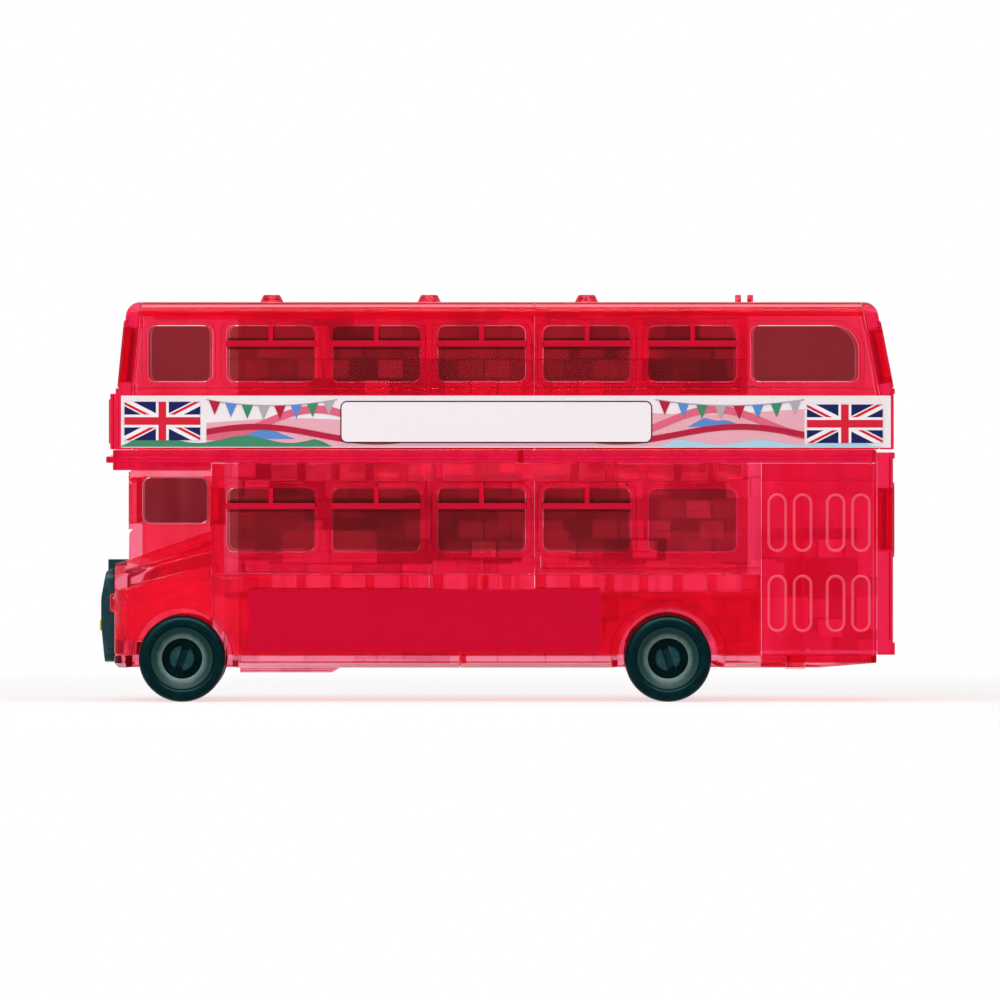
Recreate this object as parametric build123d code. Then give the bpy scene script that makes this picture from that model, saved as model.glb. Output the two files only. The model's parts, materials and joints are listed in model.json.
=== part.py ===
from build123d import *
import os
from math import cos, pi

# A see-through puzzle model of a half-cab double decker bus, in millimetres.
# The bus faces -X, its platform door is on the -Y side and its cab on the +Y side.
# The origin lies on the ground under the middle of the bus.

# Walls and clearances
HALF_WIDTH = 19.7      # outer wall face, from the middle plane
WALL = 2.0             # moulded wall
SEAM = 0.1             # gap between neighbouring pieces
RELIEF = 0.3           # height of raised rims and outlines
BEAD = 0.4             # reach of the long ridges
LIP = 0.3              # reach of the tail wall's lips

# Along the bus
WINDOW_WIDTH = 14.5
PILLAR = 2.75
BAYS = 5
GRILLE_DEPTH = 2.2
UPPER_SETBACK = 2.95   # upper deck's face behind the grille's
CAB_SETBACK = 4.6
BULKHEAD_SETBACK = 18.3
FRONT_MARGIN = 2.35    # bulkhead face to the first window
REAR_MARGIN = 3.95     # last window to the door
DOOR_WIDTH = 18.8
TAIL_WALL = 2.6
FRONT_AXLE_SETBACK = 13.4
REAR_AXLE_SETBACK = 15.2   # ahead of the door
FRONT_RAKE = 1.5       # lean of the upper deck's ends, from belt to roof
REAR_RAKE = 2.95
FRONT_PANEL = 1.3      # upper deck's front panel, ahead of the wall above it
TAIL_BEAD = 0.2        # ridge of the upper deck's tail
CANOPY_REACH = 1.95    # canopy lip ahead of the upper deck
CANOPY_STEP = 1.1      # canopy's underside, set back from its lip

# Heights, each counted from the one below it
WHEEL_RADIUS = 7.1
WHEEL_COVER = 3.8      # wheel's top to the lower floor
SILL = 5.6             # chassis plate's underside
PLATE = 2.0
FLOOR = 2.8            # floor plate, as high as its teeth
BELT_LOWER = 3.7       # floor to the lower windows
LOWER_PANE = 10.5
HEADER = 1.2           # window's top to the teeth, or to the roof
MID_PLATE = 2.1
BELT_UPPER = 9.1       # print band's height
WAIST = 1.9            # band to the upper windows
UPPER_PANE = 9.3
ROOF_RISE = 2.6        # above the band over the windows
ROOF_SKIN = 1.4
ROOF_ROUND = 2.4
ROOF_EDGE = 3.2        # rounded rim that the side walls carry round the roof plate
ROOF_LAP = 0.9         # roof plate's tongue under that rim
VENT_RADIUS = 1.95
VENT_RISE = 1.2
CANOPY_DROP = 1.1

# Windows
CORNER = 1.3
RIM = 0.9
BAR_DROP = 3.0         # window's top to the vent bar
BAR = 1.0
POST = 0.8
BAR_DEPTH = 0.8
PANE = 0.8
NOSE_WINDOW = 10.3     # short first window of the upper deck
TAIL_WINDOW = 17.4     # long last window of the upper deck
TAIL_ROUND = 4.2
WINDOW_GAP = 2.6       # between the short or long window and its neighbour

# Interlocking teeth, keys and core
TOOTH = 4.1
TOOTH_PITCH = 5.6
LONG_TOOTH = 4         # teeth over the middle window that run together as one
LEDGE = 1.5            # depth of a tooth in its wall
KEY_NECK = 1.6
KEY_HEAD = 2.4
KEY_REACH = 1.0
CORE_HALF = 3.0
BRICK = 4.4
BRICK_ROW = 3.3
BRICK_JOINT = 0.5

# Wheels and axles
WHEEL_PROUD = 0.3      # wheel's outer face beyond the walls
WHEEL_WIDTH = 6.0
WHEEL_GAP = 0.7        # chassis to the wheel's inner face
SHOULDER = 0.9
DISH_RADIUS = 5.0
HUB_RADIUS = 3.3
DISH_DEPTH = 1.0
HUB_DEPTH = 3.4
BOSS = 0.4
BOSS_RADIUS = 2.8
AXLE_RADIUS = 1.6
AXLE_PLAY = 0.05
HEAD_RADIUS = 2.1
HEAD_LENGTH = 1.5
SNAP_SLOT = 1.2
SNAP_DEPTH = 1.6
SNAP_TILT = 19.0
ARCH_GAP = 1.1
ARCH_LIP = 1.4
BEARING_LENGTH = 6.4
BEARING_WALL = 2.7
BEARING_SPAN = 8.0
RAIL = 2.0             # chassis side rail beside the wheels
WELL_SPLAY = 1.1       # ends of a wheel well lean outwards by this at the walls
SILL_CHAMFER = 0.7
KEEL = 0.8             # shallow keel under the first windows
KEEL_RUN = 3.0         # its sloped tail

# Nose
BONNET_EDGE = 0.9      # bonnet's cab-side face, from the middle plane
SHOULDER_WIDTH = 3.5
HUMP_RISE = 4.3        # above the wing at the nose
HUMP_SLOPE = 5.5       # rise from nose to bulkhead
SHOULDER_RISE = 2.4
SHOULDER_SLOPE = 4.1
BONNET_ROUND = 1.1
WING_RISE = 3.9        # wheel's top to the wing's front edge
WING_SLOPE = 3.8
WING_ROUND = 2.4
WING_TAIL = 4.6        # wing's side panel behind the bulkhead
WING_TAIL_RISE = 2.3   # that panel's top above the wing's front edge
CAB_SILL = 1.5         # cab's foot above the wing's front edge
FLARE_RADIUS = 10.8    # eyebrow line over the front wheel
FLARE_SHIFT = 2.0
FLARE_LIFT = 1.0
FLARE_LINE = 0.7
LAMP_RADIUS = 1.5
LAMP_DEPTH = 0.7
STUD_RADIUS = 1.1
GRILLE_WIDTH = 12.0
GRILLE_FOOT = 0.8      # above the sill
GRILLE_RISE = 3.6      # above the wing at the nose
GRILLE_ROUND = 2.4
GRILLE_SWEEP = 8.0     # rounding of its front, seen from the side
GRILLE_CHIN = 6.2      # height of the lower part that leans back
CHIN_LEAN = 0.6
GRILLE_BROW = 4.8      # height of the upper part that leans back
BROW_LEAN = 0.9
BROW_ROUND = 1.2
SLAT = 0.65
SLAT_PITCH = 1.3
SLAT_COUNT = 7
TAB_WIDTH = 2.4
TAB_REACH = 2.2
TAB_ROOT = 0.8         # tab's foot below the grille's top
TAB_RISE = 1.5         # tab's top above it

# Door, prints and fastenings
LEAF_PANEL = 3.2       # round-ended panel of a door leaf
LEAF_LINE = 0.45
LEAF_GAP = 0.95        # between the panels of a pair of leaves
PAIR_GAP = 2.2         # between the two pairs
DOOR_INSET = 0.6
DOOR_DROP = 1.3        # door's foot below the walls'
BAND_GAP = 0.02        # film of glue under a print
BAND_FILM = 0.15
BAND_MARGIN = 0.3
LABEL_FILM = 0.1
LABEL_BAYS = 4         # windows above the lower label
PIN_RADIUS = 1.5
PIN_HEAD = 1.7
PIN_SETBACK = 5.7      # behind the door's front edge
TAIL_RISE = 1.0        # chassis underside's rise behind the pin
PLAN_CORNER = 0.4      # upright edges of the tail and print ends

# Places along the bus
LENGTH = (BULKHEAD_SETBACK + FRONT_MARGIN + BAYS * WINDOW_WIDTH + (BAYS - 1) * PILLAR + REAR_MARGIN
          + DOOR_WIDTH + TAIL_WALL + LIP + 2 * SEAM)
nose = -LENGTH / 2
upper_nose = nose + UPPER_SETBACK
cab_nose = nose + CAB_SETBACK
wing_nose = nose + GRILLE_DEPTH + SEAM
saloon_front = nose + BULKHEAD_SETBACK
nose_end = saloon_front - SEAM
bay_pitch = WINDOW_WIDTH + PILLAR
bays = [saloon_front + FRONT_MARGIN + WINDOW_WIDTH / 2 + bay * bay_pitch for bay in range(BAYS)]
saloon_end = bays[-1] + WINDOW_WIDTH / 2 + REAR_MARGIN
door_front = saloon_end + SEAM
door_end = door_front + DOOR_WIDTH
tail_front = door_end + SEAM
tail_back = tail_front + TAIL_WALL
upper_tail = tail_back + LIP - TAIL_BEAD
wing_end = saloon_front + WING_TAIL
axles = {"front": nose + FRONT_AXLE_SETBACK, "rear": saloon_end - REAR_AXLE_SETBACK}

# Heights
plate_top = SILL + PLATE
lower_foot = plate_top + SEAM
floor_low = 2 * WHEEL_RADIUS + WHEEL_COVER
floor_top = floor_low + FLOOR
lower_glass = floor_top + BELT_LOWER
lower_glass_top = lower_glass + LOWER_PANE
lower_head = lower_glass_top + HEADER + FLOOR
mid_low = lower_head + SEAM
mid_top = mid_low + MID_PLATE
upper_foot = mid_top + SEAM
belt = upper_foot + BELT_UPPER
upper_glass = belt + WAIST
upper_glass_top = upper_glass + UPPER_PANE
roof_top = upper_glass_top + HEADER + ROOF_RISE
wing_top = 2 * WHEEL_RADIUS + WING_RISE
wing_tail_top = wing_top + WING_TAIL_RISE
bearing_top = WHEEL_RADIUS + BEARING_WALL
cab_foot = wing_top + CAB_SILL
cab_head = lower_head - CANOPY_DROP - SEAM
arch_radius = WHEEL_RADIUS + ARCH_GAP

# Places across the bus
inner_face = HALF_WIDTH - WALL
floor_edge = inner_face - SEAM
tooth_tip = inner_face + LEDGE - SEAM
wheel_face = HALF_WIDTH + WHEEL_PROUD
wheel_inner = wheel_face - WHEEL_WIDTH
chassis_narrow = wheel_inner - WHEEL_GAP
wing_inner = chassis_narrow + SEAM
cab_side = BONNET_EDGE + SEAM
bonnet_width = BONNET_EDGE + chassis_narrow
hump_width = bonnet_width - SHOULDER_WIDTH

NEAR = Plane((0, -HALF_WIDTH, 0), x_dir=(1, 0, 0), z_dir=(0, -1, 0))


# Shapes

def block(x0, x1, y0, y1, z0, z1):
    """A plain block between two corners."""
    return Pos((x0 + x1) / 2, (y0 + y1) / 2, (z0 + z1) / 2) * Box(x1 - x0, y1 - y0, z1 - z0)


def bar_across(x, z, radius, y0, y1):
    """A round bar across the bus."""
    return Pos(x, (y0 + y1) / 2, z) * Rot(90, 0, 0) * Cylinder(radius, y1 - y0)


def slab(outline, y0, y1):
    """A side-view outline (x, z) run across the bus."""
    side = Plane((0, y1, 0), x_dir=(1, 0, 0), z_dir=(0, -1, 0))
    return extrude(side * Polygon(*outline), amount=y1 - y0, dir=(0, -1, 0))


def relief(plane, outline, low, high):
    """An outline on a wall, from low to high along the wall's outward direction."""
    return extrude(plane.offset(low) * outline, amount=high - low, dir=plane.z_dir)


def wall_plane(x, outward):
    """The plane of an end wall that faces the nose (-1) or the tail (+1)."""
    return Plane((x, 0, 0), x_dir=(0, outward, 0), z_dir=(outward, 0, 0))


def window_shape(width, height, inset, tail_round):
    """A window's outline, grown or shrunk, with a large round at its upper rear corner if asked for."""
    if not tail_round:
        return RectangleRounded(width - 2 * inset, height - 2 * inset, CORNER - inset)
    shape = Rectangle(width - 2 * inset, height - 2 * inset)
    top_rear = shape.vertices().sort_by(Axis.X)[-2:].sort_by(Axis.Y)[-1]
    others = [corner for corner in shape.vertices() if corner != top_rear]
    shape = fillet(others, CORNER - inset)
    top_rear = shape.vertices().sort_by_distance((width / 2 - inset, height / 2 - inset, 0))[0]
    return fillet(top_rear, TAIL_ROUND - inset)


def glaze(wall, plane, windows, thickness=WALL):
    """Cut the windows of a wall, raise their rims and set the vent bars.

    Each window is (across, foot, width, height, bars, tail_round).
    """
    panes = []
    for across, foot, width, height, bars, tail_round in windows:
        place = Pos(across, foot + height / 2)
        hole = place * window_shape(width, height, 0, tail_round)
        rim = place * window_shape(width, height, -RIM, tail_round)
        wall = wall + relief(plane, rim, -RELIEF, RELIEF)
        wall = wall - relief(plane, hole, -2 * thickness, thickness)
        if bars:
            bar_at = foot + height - BAR_DROP
            lattice = Pos(across, bar_at) * Rectangle(width + RIM, BAR)
            lattice += Pos(across, bar_at + (BAR_DROP + RIM) / 2) * Rectangle(POST, BAR_DROP + RIM)
            wall = wall + relief(plane, lattice, -BAR_DEPTH - SEAM, -SEAM)
        glass = place * window_shape(width, height, SEAM, tail_round)
        pane_front = -BAR_DEPTH - 2 * SEAM
        panes.append(relief(plane, glass, pane_front - PANE, pane_front))
    return wall, panes


def hooked(seam, key_at, plane, grow):
    """All that lies ahead of a seam, with the dovetail key that crosses it."""
    edge = seam + grow
    tip = edge + KEY_REACH
    neck = KEY_NECK / 2 + grow
    head = KEY_HEAD / 2 + grow
    outline = Polygon(
        (edge - LENGTH, -LENGTH), (edge, -LENGTH), (edge, key_at - neck), (tip, key_at - head),
        (tip, key_at + head), (edge, key_at + neck), (edge, LENGTH), (edge - LENGTH, LENGTH))
    return extrude(plane * outline, amount=LENGTH, both=True)


def jigsaw(shape, seam, key_at, plane):
    """Two pieces of one shape, hooked together by a dovetail key."""
    return shape & hooked(seam, key_at, plane, 0), shape - hooked(seam, key_at, plane, SEAM)


def tooth_spans(joined):
    """Start and end of each tooth in a row, with the given number in its middle run together as one."""
    count = int((floor_end - teeth_start) // TOOTH_PITCH)
    first = (teeth_start + floor_end - (count - 1) * TOOTH_PITCH - TOOTH) / 2
    starts = [first + tooth * TOOTH_PITCH for tooth in range(count)]
    spans = [(start, start + TOOTH) for start in starts]
    run = (count - joined) // 2
    run_end = run + joined
    return [*spans[:run], (spans[run][0], spans[run_end - 1][1]), *spans[run_end:]]


def teeth(z0, z1, grow, joined=1):
    """A row of teeth on the near side, or the pockets that take them."""
    tip = -tooth_tip - grow
    root = -floor_edge + WALL / 2
    return [block(x0 - grow, x1 + grow, tip, root, z0 - grow, z1 + grow) for x0, x1 in tooth_spans(joined)]


def both_sides(shapes):
    """Shapes of the near side with their mirror images."""
    return [*shapes, *[mirror(shape, about=Plane.XZ) for shape in shapes]]


def far(shape):
    """A near-side shape moved over to the far side."""
    return mirror(shape, about=Plane.XZ)


def arch(axle, y0, y1):
    """The round clearance for one wheel."""
    return bar_across(axles[axle], WHEEL_RADIUS, arch_radius, y0, y1)


def arch_lip(axle):
    """The raised lip round a wheel arch on the near side."""
    ring = Circle(arch_radius + ARCH_LIP) - Circle(arch_radius)
    return relief(NEAR, Pos(axles[axle], WHEEL_RADIUS) * ring, -RELIEF, RELIEF)


def ridge(x0, x1, z0, z1):
    """A long ridge on the near side."""
    return block(x0, x1, -HALF_WIDTH - BEAD, -HALF_WIDTH + BEAD, z0, z1)


# Chassis: two plates hooked together, with side rails and a bearing for each axle

pin_place = door_front + PIN_SETBACK
floor_start = saloon_front + WALL + SEAM
floor_end = saloon_end


def chassis():
    plan = RectangleRounded(door_end - wing_nose, 2 * (HALF_WIDTH - LIP), WING_ROUND)
    plate = extrude(Pos((wing_nose + door_end) / 2, 0, SILL) * plan, amount=PLATE)
    plate = chamfer(plate.faces().sort_by(Axis.Z)[0].edges(), SILL_CHAMFER)
    keel_end = bays[1] - WINDOW_WIDTH / 2
    keel_half = HALF_WIDTH - LIP - SILL_CHAMFER
    keel = slab([(wing_end, SILL + PLATE / 2), (wing_end, SILL - KEEL), (keel_end, SILL - KEEL),
                 (keel_end + KEEL_RUN, SILL + PLATE / 2)], -keel_half, keel_half)
    plate = plate + keel
    rails = ((wing_nose + WING_ROUND, nose_end, bearing_top), (floor_start, floor_end, floor_low - SEAM))
    for x0, x1, top in rails:
        plate = plate + both_sides([block(x0, x1, chassis_narrow - RAIL, chassis_narrow, SILL, top)])
    for axle in axles.values():
        bearing = block(axle - BEARING_LENGTH / 2, axle + BEARING_LENGTH / 2, chassis_narrow - BEARING_SPAN,
                        chassis_narrow, WHEEL_RADIUS - BEARING_WALL, bearing_top)
        plate = plate + both_sides([bearing])
        splay = arch_radius + WELL_SPLAY
        well = Polygon((axle - arch_radius, chassis_narrow), (axle + arch_radius, chassis_narrow),
                       (axle + splay, HALF_WIDTH), (axle - splay, HALF_WIDTH))
        plate = plate - both_sides([extrude(well, amount=bearing_top)])
        plate = plate - bar_across(axle, WHEEL_RADIUS, AXLE_RADIUS + AXLE_PLAY, -HALF_WIDTH, HALF_WIDTH)
    pin_hole = Pos(pin_place, 0, SILL) * Cylinder(PIN_RADIUS + SEAM, 4 * PLATE)
    rise_start = pin_place + PIN_HEAD + WALL
    rise = slab([(rise_start, SILL), (tail_back, SILL), (tail_back, SILL + TAIL_RISE)],
                -HALF_WIDTH, HALF_WIDTH)
    door_room = block(saloon_end, tail_back, -HALF_WIDTH, -inner_face + SEAM, 0, bearing_top)
    plate = plate - pin_hole - rise - door_room
    return jigsaw(plate, bays[2] - WINDOW_WIDTH / 4, 0, Plane.XY)


# Lower floor: its teeth stand in pockets of the side walls

teeth_start = wing_end + WALL


def lower_floor():
    plate = block(floor_start, floor_end, -floor_edge, floor_edge, floor_low, floor_top)
    plate = plate + both_sides(teeth(floor_low, floor_top, 0))
    return jigsaw(plate, bays[2], 0, Plane.XY)


# Middle floor: hangs its teeth into the lower walls and carries the canopy over the nose

def mid_floor():
    canopy_nose = upper_nose - CANOPY_REACH
    step_nose = canopy_nose + CANOPY_STEP
    plate = block(step_nose, door_end, -HALF_WIDTH, HALF_WIDTH, mid_low, mid_top)
    plate = plate + block(canopy_nose, step_nose, -HALF_WIDTH, HALF_WIDTH, mid_low, mid_top - CANOPY_STEP)
    plate = plate + block(step_nose, nose_end, -HALF_WIDTH + LIP, HALF_WIDTH - LIP,
                          lower_head - CANOPY_DROP, mid_top)
    edge = ridge(canopy_nose, door_end, mid_low + MID_PLATE / 4, mid_low + MID_PLATE / 2)
    plate = plate + both_sides([edge, *teeth(lower_head - FLOOR, mid_top, 0, LONG_TOOTH)])
    return jigsaw(plate, bays[2] + bay_pitch / 3, 0, Plane.XY)


# Lower side walls: windows, arches, ridges and the pockets for both rows of teeth

lower_seams = (bays[2] - bay_pitch / 2, bays[2] + bay_pitch / 2)
key_height = floor_top + BELT_LOWER / 2


def lower_side(end, window_count):
    wall = block(saloon_front, end, -HALF_WIDTH, -inner_face, lower_foot, lower_head)
    wall = wall + ridge(saloon_front, end, floor_top + BEAD, floor_top + BEAD + RIM)
    wall = wall + (arch_lip("rear") & block(saloon_front, end, -2 * HALF_WIDTH, 0, lower_foot, floor_low))
    rows = [(x, lower_glass, WINDOW_WIDTH, LOWER_PANE, x != bays[-1], False) for x in bays[:window_count]]
    wall, panes = glaze(wall, NEAR, rows)
    wing_room = block(nose, wing_end + SEAM, -2 * HALF_WIDTH, 0, 0, wing_tail_top + SEAM)
    wall = wall - arch("rear", -2 * HALF_WIDTH, 0) - wing_room
    wall = wall - teeth(floor_low, floor_top, SEAM) - teeth(lower_head - FLOOR, mid_top, SEAM, LONG_TOOTH)
    front, rest = jigsaw(wall, lower_seams[0], key_height, Plane.XZ)
    middle, rear = jigsaw(rest, lower_seams[1], key_height, Plane.XZ)
    return (front, middle, rear), panes


# Platform door: two pairs of leaves moulded shut, each leaf with two round-ended panels

def platform_door():
    face = NEAR.offset(-DOOR_INSET)
    foot = lower_foot - DOOR_DROP
    door = block(door_front, door_end, -HALF_WIDTH + DOOR_INSET, -inner_face, foot, lower_head)
    middle = (door_front + door_end) / 2
    near_leaf = (PAIR_GAP + LEAF_PANEL) / 2
    rows = ((lower_glass, lower_glass_top - RIM), (lower_foot + BELT_LOWER, floor_top))
    for offset in (near_leaf, near_leaf + LEAF_PANEL + LEAF_GAP):
        for across in (middle - offset, middle + offset):
            for low, high in rows:
                tall = high - low
                ring = SlotOverall(tall, LEAF_PANEL, rotation=90)
                ring = ring - SlotOverall(tall - 2 * LEAF_LINE, LEAF_PANEL - 2 * LEAF_LINE, rotation=90)
                door = door + relief(face, Pos(across, (low + high) / 2) * ring, -RELIEF, RELIEF)
    sill = block(door_front, door_end, -HALF_WIDTH, -inner_face, lower_foot, lower_foot + RIM)
    lintel = block(door_front, door_end, -HALF_WIDTH, -inner_face, lower_head - FLOOR, lower_head)
    return door + sill + lintel


# Tail wall of the lower deck, with its window, top lip and bumper

def tail_wall():
    top = mid_top - BEAD
    wall = block(tail_front, tail_back, -HALF_WIDTH, HALF_WIDTH, lower_foot, top)
    wall = fillet(wall.edges().filter_by(Axis.Z).group_by(Axis.X)[-1], PLAN_CORNER)
    lip_half = HALF_WIDTH - PLAN_CORNER
    lip = block(tail_front, tail_back + LIP, -lip_half, lip_half, top - PLATE / 2, top)
    bumper = block(tail_front, tail_back + LIP, -HALF_WIDTH, HALF_WIDTH, lower_foot, lower_foot + PLATE)
    wall = wall + lip + bumper
    window = (0, lower_glass, 2 * WINDOW_WIDTH, LOWER_PANE, False, False)
    return glaze(wall, wall_plane(tail_back, 1), [window], TAIL_WALL)


# Bulkhead behind the bonnet and cab, with the front window of the lower deck

bonnet_head = wing_top + HUMP_RISE + HUMP_SLOPE


def bulkhead():
    wall = block(saloon_front, saloon_front + WALL, -floor_edge, floor_edge, lower_foot, lower_head)
    wall = wall - both_sides([arch("front", -2 * HALF_WIDTH, -chassis_narrow)])
    foot = bonnet_head + RIM + SEAM
    window = (floor_edge / 2, foot, WINDOW_WIDTH, lower_glass_top - foot, False, False)
    return glaze(wall, wall_plane(saloon_front, -1), [window])


# Cab: a hollow box beside the bonnet with front, side and inner windows

def cab():
    outline = [(cab_nose, cab_head), (cab_nose - LIP, cab_foot), (nose_end, cab_foot), (nose_end, cab_head)]
    outer = slab(outline, cab_side, HALF_WIDTH)
    hollow = block(cab_nose + WALL, nose_end + WALL, cab_side + WALL, inner_face, cab_foot - WALL,
                   cab_head - WALL / 2)
    shell = outer - hollow
    foot = bonnet_head + RIM + SEAM
    tall = cab_head - HEADER - foot
    for height in (foot - RIM, cab_head - WALL):
        notch = slab([(cab_nose - WALL, height - WALL), (cab_nose + BEAD, height),
                      (cab_nose - WALL, height + WALL)], 0, HALF_WIDTH + WALL)
        shell = shell - notch
    middle = (cab_side + HALF_WIDTH) / 2
    front_width = HALF_WIDTH - cab_side - 2 * WALL - 2 * RIM
    side_width = nose_end - RIM - (cab_nose + WALL)
    side_middle = nose_end - RIM - side_width / 2
    panes = []
    inner = Plane((0, cab_side, 0), x_dir=(1, 0, 0), z_dir=(0, -1, 0))
    outer_side = Plane((0, HALF_WIDTH, 0), x_dir=(-1, 0, 0), z_dir=(0, 1, 0))
    faces = ((wall_plane(cab_nose, -1), -middle, front_width), (inner, side_middle, side_width),
             (outer_side, -side_middle, side_width))
    for plane, across, width in faces:
        shell, glass = glaze(shell, plane, [(across, foot, width, tall, False, False)])
        panes += glass
    room = block(cab_nose - LIP, nose_end, cab_side, 2 * HALF_WIDTH, cab_foot, cab_head)
    return shell & room, panes


# Bonnet: a hump and a lower shoulder that both rise towards the bulkhead

def bonnet_section(x, rise, inset):
    hump = wing_top + HUMP_RISE + rise * HUMP_SLOPE - inset
    shoulder = wing_top + SHOULDER_RISE + rise * SHOULDER_SLOPE - inset
    foot = bearing_top + SEAM - (inset and WALL)
    left = BONNET_EDGE - bonnet_width + inset
    right = BONNET_EDGE - inset
    step = BONNET_EDGE - hump_width + inset
    outline = Polygon((left, foot), (right, foot), (right, hump), (step, hump), (left, shoulder))
    ridges = outline.vertices().sort_by(Axis.Y)[2:]
    face = Plane((x, 0, 0), x_dir=(0, 1, 0), z_dir=(1, 0, 0))
    return face * fillet(ridges, BONNET_ROUND)


def bonnet():
    outer = loft([bonnet_section(wing_nose, 0, 0), bonnet_section(nose_end, 1, 0)], ruled=True)
    inner = loft([bonnet_section(wing_nose + WALL, 0, WALL), bonnet_section(nose_end + WALL, 1, WALL)],
                 ruled=True)
    tab_room = tab_block(SEAM)
    return outer - inner - tab_room


# Front wings: the near one stands alone, the far one also carries the apron and floor of the cab

def wing_body(inner):
    """A near-side wing ahead of the bulkhead, with its lamp and side stud."""
    top_rear = wing_top + WING_SLOPE
    profile = [(wing_nose, lower_foot), (nose_end, lower_foot), (nose_end, top_rear), (wing_nose, wing_top)]
    plan = RectangleRounded(nose_end + WALL - wing_nose, 2 * HALF_WIDTH, WING_ROUND)
    plan = Pos((wing_nose + nose_end + WALL) / 2, 0) * plan
    body = slab(profile, -HALF_WIDTH, inner) & extrude(plan, amount=roof_top)
    lamp_height = wing_top - LAMP_RADIUS - BEAD
    lamp_place = Pos(HALF_WIDTH - WING_ROUND - LAMP_RADIUS, lamp_height)
    lamp = relief(wall_plane(wing_nose, -1), lamp_place * Circle(LAMP_RADIUS), -WALL, LAMP_DEPTH)
    stud = relief(NEAR, Pos(wing_nose + WING_ROUND, lamp_height - BEAD) * Circle(STUD_RADIUS), -WALL, BEAD)
    return body + lamp + stud


def wing_panel():
    """The wing's side panel behind the bulkhead, with the arch lip and the eyebrow line over the wheel."""
    panel = block(nose_end, wing_end, -HALF_WIDTH, -inner_face, lower_foot, wing_tail_top)
    flare_place = Pos(axles["front"] + FLARE_SHIFT, WHEEL_RADIUS + FLARE_LIFT)
    flare_ring = Circle(FLARE_RADIUS) - Circle(FLARE_RADIUS - FLARE_LINE)
    flare = relief(NEAR, flare_place * flare_ring, -RELIEF, RELIEF)
    flare = flare & block(wing_nose + WING_ROUND, wing_end, -2 * HALF_WIDTH, 0, 2 * WHEEL_RADIUS,
                          wing_tail_top)
    lip = arch_lip("front") & block(wing_nose, wing_end, -2 * HALF_WIDTH, 0, lower_foot, wing_tail_top)
    return [panel, flare, lip]


def wing_near():
    return wing_body(-wing_inner) + wing_panel() - arch("front", -2 * HALF_WIDTH, 0)


def wing_far():
    under_cab = block(wing_nose - WALL, nose_end, -2 * HALF_WIDTH, 0, lower_foot, cab_foot - SEAM)
    shell = (wing_body(-cab_side) & under_cab) + wing_panel()
    hollow = block(wing_nose + WALL, nose_end + WALL, -wing_inner, 0, 0, cab_foot - WALL)
    return far(shell - hollow - arch("front", -2 * HALF_WIDTH, -wing_inner))


# Radiator grille: a rounded shell with upright slats and a tab that hooks over the bonnet

grille_middle = BONNET_EDGE - hump_width / 2
grille_low = SILL + GRILLE_FOOT
grille_high = wing_top + GRILLE_RISE


def tab_block(grow):
    """The tab on the grille, or the room for it in the bonnet."""
    half = TAB_WIDTH / 2 + grow
    return block(wing_nose - SEAM - GRILLE_DEPTH / 2, wing_nose + TAB_REACH + grow, grille_middle - half,
                 grille_middle + half, grille_high - TAB_ROOT - grow, grille_high + TAB_RISE + grow)


def grille():
    back = wing_nose - SEAM
    outline = [(back, grille_low), (nose + CHIN_LEAN, grille_low), (nose, grille_low + GRILLE_CHIN),
               (nose, grille_high - GRILLE_BROW), (nose + BROW_LEAN, grille_high), (back, grille_high)]
    shell = slab(outline, grille_middle - GRILLE_WIDTH / 2, grille_middle + GRILLE_WIDTH / 2)
    shell = fillet(shell.edges().filter_by(Axis.Y).group_by(Axis.X)[0], GRILLE_SWEEP)
    shell = fillet(shell.edges().filter_by(Axis.Y).group_by(Axis.Z)[-1].sort_by(Axis.X)[0], BROW_ROUND)
    face = wall_plane(nose, -1)
    middle = Pos(-grille_middle, (grille_low + grille_high) / 2)
    tall = grille_high - grille_low
    front = middle * RectangleRounded(GRILLE_WIDTH, tall, GRILLE_ROUND)
    shell = shell & relief(face, front, -GRILLE_DEPTH, LIP)
    places = [(slat - (SLAT_COUNT - 1) / 2) * SLAT_PITCH for slat in range(SLAT_COUNT)]
    slot = Rectangle(SLAT_PITCH - SLAT, tall - 2 * GRILLE_ROUND)
    slots = Sketch() + [middle * Pos(across, 0) * slot for across in places]
    return shell - relief(face, slots, -GRILLE_DEPTH / 2, LIP) + tab_block(0)


# Upper deck: a raked side outline crossed with a round-shouldered end outline, cut into pieces

upper_seam = bays[2] + bay_pitch / 2
end_depth = WALL + LIP


def upper_solid(inset, top, rounding):
    """The upper deck's outer form, or the room inside it."""
    x0 = upper_nose + inset
    x1 = upper_tail - inset
    half = HALF_WIDTH - inset
    foot = upper_foot - inset
    rise = (top - belt) / (roof_top - belt)
    side = Polygon((x0, foot), (x1, foot), (x1, belt), (x1 - rise * REAR_RAKE, top),
                   (x0 + rise * FRONT_RAKE, top), (x0, belt))
    end = Polygon((-half, foot), (half, foot), (half, top), (-half, top))
    if rounding:
        side = fillet(side.vertices().sort_by(Axis.Y)[-2:], rounding)
        end = fillet(end.vertices().sort_by(Axis.Y)[-2:], rounding)
    across = extrude(Plane.XZ * side, amount=HALF_WIDTH + WALL, both=True)
    return across & extrude(Plane.YZ * end, amount=LENGTH, both=True)


def end_line(x, rake):
    """Seam line of an end piece: upright beside the band, raked above it."""
    return [(x, upper_foot - WALL), (x, belt), (x + rake, roof_top)]


def raked_plane(x, rake, outward):
    """The plane of a raked end wall, its height counted up the slope from the belt."""
    return Plane((x, 0, belt), x_dir=(0, outward, 0), z_dir=(outward * (roof_top - belt), 0, rake))


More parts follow.
